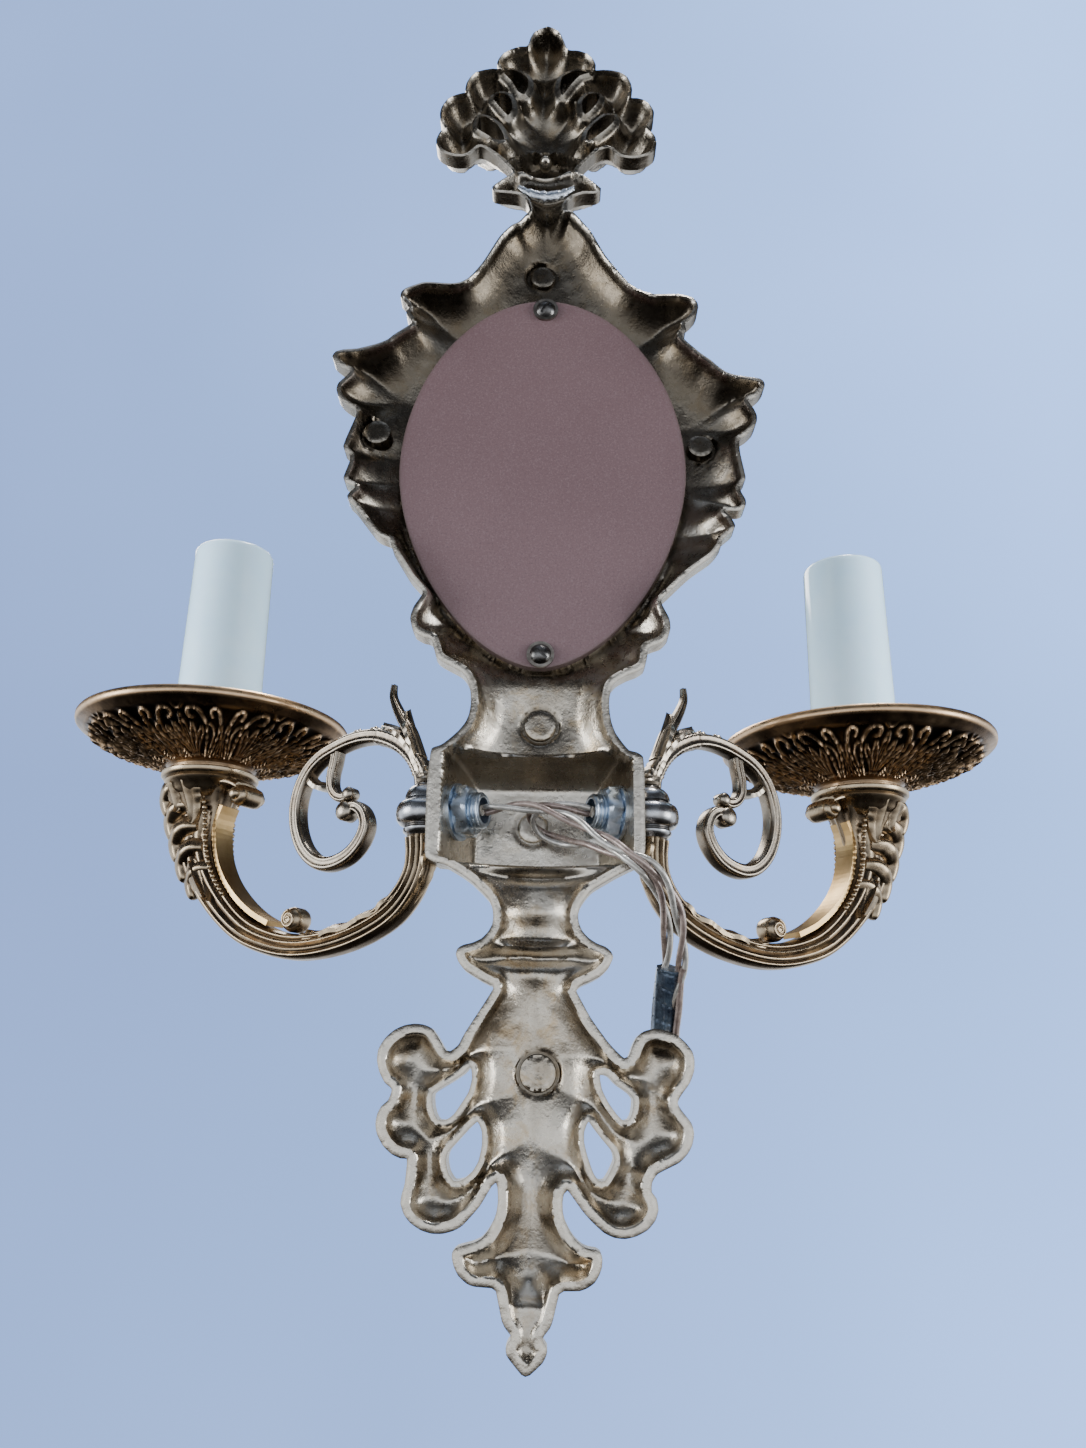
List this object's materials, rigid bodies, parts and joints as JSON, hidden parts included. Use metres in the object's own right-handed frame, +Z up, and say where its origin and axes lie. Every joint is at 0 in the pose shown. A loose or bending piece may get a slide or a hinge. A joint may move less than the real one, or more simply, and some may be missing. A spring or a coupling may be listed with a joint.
{
  "type": "girandole_mirror",
  "caption": "Oval wall mirror girandole in cast brass with candle-style light arms, scrolled branches, drip pans, a hollow back plate and its loose wiring.",
  "frame": {"origin": "on the wall plane at the centre of the wiring box mouth in the back of the casting", "axes": "+Z up, +Y into the wall (the mirror faces -Y), +X to the right seen from the front"},
  "size_m": [0.2909, 0.1104, 0.4065],
  "materials": {
    "cast_brass": "silver-bronze patinated casting, rough on the back, worn bright on edges",
    "strip_brass": "satin strip",
    "mirror_glass": "silvered glass",
    "board": "dark hardboard, fine speckle",
    "dark_steel": "dulled steel screws",
    "plated_steel": "zinc plated",
    "holder_plastic": "moulded",
    "shell_metal": "thin pressed metal",
    "candle_plastic": "glossy white candle sleeve",
    "flex": "twisted pair, one core copper coloured and one silvery",
    "tape": "glossy black insulating tape"
  },
  "bodies": {
    "fixture": {"back_plate": "cast_brass", "board_screw_washers": "plated_steel", "board_screws": "dark_steel", "left_arm": "cast_brass", "left_arm_knob": "cast_brass", "left_arm_wire": "flex", "left_candle_nipple": "plated_steel", "left_candle_nipple_nut": "plated_steel", "left_drip_pan": "cast_brass", "left_flex": "flex", "left_hex_nut": "plated_steel", "left_lampholder_body": "holder_plastic", "left_lampholder_contact": "shell_metal", "left_lampholder_thread_shell": "shell_metal", "left_scroll": "cast_brass", "left_side_nipple": "plated_steel", "left_wire_cover_strip": "strip_brass", "mirror_backing_board": "board", "mirror_glass": "mirror_glass", "right_arm": "cast_brass", "right_arm_knob": "cast_brass", "right_arm_wire": "flex", "right_candle_nipple": "plated_steel", "right_candle_nipple_nut": "plated_steel", "right_drip_pan": "cast_brass", "right_flex": "flex", "right_hex_nut": "plated_steel", "right_lampholder_body": "holder_plastic", "right_lampholder_contact": "shell_metal", "right_lampholder_thread_shell": "shell_metal", "right_scroll": "cast_brass", "right_side_nipple": "plated_steel", "right_wire_cover_strip": "strip_brass", "tape_splice": "tape"},
    "right_sleeve": {"right_candle_sleeve": "candle_plastic"},
    "left_sleeve": {"left_candle_sleeve": "candle_plastic"}
  },
  "joints": [
    {"name": "right_sleeve_lift", "type": "slide", "parent": "fixture", "child": "right_sleeve", "axis": [0, 0, 1], "range_m": [0, 0.075]},
    {"name": "left_sleeve_lift", "type": "slide", "parent": "fixture", "child": "left_sleeve", "axis": [0, 0, 1], "range_m": [0, 0.075]}
  ]
}
